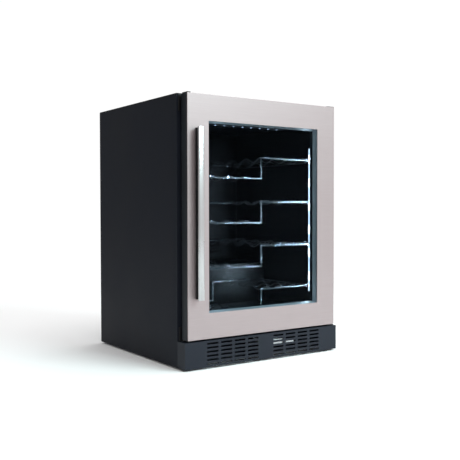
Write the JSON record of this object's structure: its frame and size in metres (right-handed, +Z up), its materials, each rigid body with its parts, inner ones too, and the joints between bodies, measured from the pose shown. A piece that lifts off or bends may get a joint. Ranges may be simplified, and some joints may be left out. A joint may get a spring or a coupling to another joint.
{
  "type": "wine cooler",
  "caption": "Undercounter wine cooler with a glazed stainless steel door, stepped wire racks, lit interior and a louvred plinth.",
  "frame": {"origin": "middle of the whole outline, at floor level", "axes": "+Z up, the door faces -Y, +X is to the right when standing in front"},
  "size_m": [0.595, 0.607, 0.82],
  "materials": {
    "cabinet_black": "satin powder coat",
    "top_black": "satin powder coat",
    "galvanised_steel": "galvanised sheet",
    "plinth_black": "fine satin",
    "black_plastic": "satin moulded",
    "liner_black": "semi-gloss thermoformed",
    "foam": "polyurethane foam",
    "door_steel": "fine satin stainless",
    "handle_steel": "brushed stainless",
    "tinted_glass": "lightly tinted",
    "spacer_aluminium": "satin",
    "seal_rubber": "matt",
    "rack_wire": "bright plated",
    "cast_black": "black enamelled shell",
    "fin_aluminium": "mill finish",
    "copper": "drawn copper",
    "white_plastic": "moulded",
    "lamp_white": "opal diffuser",
    "dot_white": "opal",
    "screw_steel": "zinc plated",
    "hinge_steel": "black zinc",
    "bush_plastic": "acetal",
    "display_black": "polished"
  },
  "bodies": {
    "cabinet": {"side_panel_left": "cabinet_black", "side_panel_right": "cabinet_black", "top_panel": "top_black", "rear_panel": "galvanised_steel", "machine_bay_wall": "galvanised_steel", "inner_liner": "liner_black", "insulation_foam": "foam", "front_frame": "black_plastic", "base_tray": "galvanised_steel", "foot_nuts": "screw_steel", "machine_cover": "galvanised_steel", "kick_grille": "plinth_black", "shelf_rails": "liner_black", "duct_cover": "liner_black", "evaporator": "fin_aluminium", "evaporator_fan_shroud": "black_plastic", "evaporator_fan_motor": "black_plastic", "charcoal_filter": "black_plastic", "temperature_sensor": "white_plastic", "control_panel": "black_plastic", "display_window": "display_black", "status_leds": "dot_white", "led_channels": "spacer_aluminium", "led_diffusers": "lamp_white", "compressor": "cast_black", "compressor_grommets": "seal_rubber", "relay_cover": "black_plastic", "condenser": "fin_aluminium", "condenser_fan_shroud": "black_plastic", "condenser_fan_motor": "black_plastic", "drip_tray": "black_plastic", "filter_drier": "copper", "refrigerant_pipes": "copper", "power_board_box": "white_plastic", "power_inlet": "black_plastic", "hinge_bracket_bottom": "hinge_steel", "hinge_bracket_top": "hinge_steel", "hinge_blank_covers": "black_plastic", "cabinet_screws": "screw_steel"},
    "door": {"door_skin": "door_steel", "door_core": "black_plastic", "outer_glass": "tinted_glass", "inner_glass": "tinted_glass", "glass_spacer": "spacer_aluminium", "door_gasket": "seal_rubber", "hinge_bushes": "bush_plastic", "door_hole_caps": "black_plastic", "handle": "handle_steel", "handle_liner": "black_plastic", "handle_screws": "screw_steel"},
    "evaporator_fan": {"evaporator_fan_blades": "black_plastic"},
    "condenser_fan": {"condenser_fan_blades": "black_plastic"},
    "rack_1": {"shelf_1": "rack_wire"},
    "rack_2": {"shelf_2": "rack_wire"},
    "rack_3": {"shelf_3": "rack_wire"},
    "rack_4": {"shelf_4": "rack_wire"},
    "leveller_front_left": {"foot_front_left": "black_plastic"},
    "leveller_front_right": {"foot_front_right": "black_plastic"},
    "leveller_rear_left": {"foot_rear_left": "black_plastic"},
    "leveller_rear_right": {"foot_rear_right": "black_plastic"}
  },
  "joints": [
    {"name": "door_hinge", "type": "hinge", "parent": "cabinet", "child": "door", "pos_m": [0.276, -0.2595, 0.4537], "axis": [0, 0, 1], "range_deg": [0, 110]},
    {"name": "evaporator_fan_spin", "type": "hinge", "parent": "cabinet", "child": "evaporator_fan", "pos_m": [0, 0.2298, 0.655], "axis": [0, 1, 0], "continuous": true},
    {"name": "condenser_fan_spin", "type": "hinge", "parent": "cabinet", "child": "condenser_fan", "pos_m": [0.0705, 0.2043, 0.1002], "axis": [1, 0, 0], "continuous": true},
    {"name": "rack_1_slide", "type": "slide", "parent": "cabinet", "child": "rack_1", "axis": [0, -1, 0], "range_m": [0, 0.1]},
    {"name": "rack_2_slide", "type": "slide", "parent": "cabinet", "child": "rack_2", "axis": [0, -1, 0], "range_m": [0, 0.1]},
    {"name": "rack_3_slide", "type": "slide", "parent": "cabinet", "child": "rack_3", "axis": [0, -1, 0], "range_m": [0, 0.1]},
    {"name": "rack_4_slide", "type": "slide", "parent": "cabinet", "child": "rack_4", "axis": [0, -1, 0], "range_m": [0, 0.1]},
    {"name": "foot_front_left_screw", "type": "slide", "parent": "cabinet", "child": "leveller_front_left", "axis": [0, 0, -1], "range_m": [0, 0.02]},
    {"name": "foot_front_right_screw", "type": "slide", "parent": "cabinet", "child": "leveller_front_right", "axis": [0, 0, -1], "range_m": [0, 0.02]},
    {"name": "foot_rear_left_screw", "type": "slide", "parent": "cabinet", "child": "leveller_rear_left", "axis": [0, 0, -1], "range_m": [0, 0.02]},
    {"name": "foot_rear_right_screw", "type": "slide", "parent": "cabinet", "child": "leveller_rear_right", "axis": [0, 0, -1], "range_m": [0, 0.02]}
  ],
  "couplings": [
    {"joint": "rack_1_slide", "follows": "door_hinge", "m_per_rad": 0.05},
    {"joint": "rack_2_slide", "follows": "door_hinge", "m_per_rad": 0.05},
    {"joint": "rack_3_slide", "follows": "door_hinge", "m_per_rad": 0.05},
    {"joint": "rack_4_slide", "follows": "door_hinge", "m_per_rad": 0.05}
  ]
}
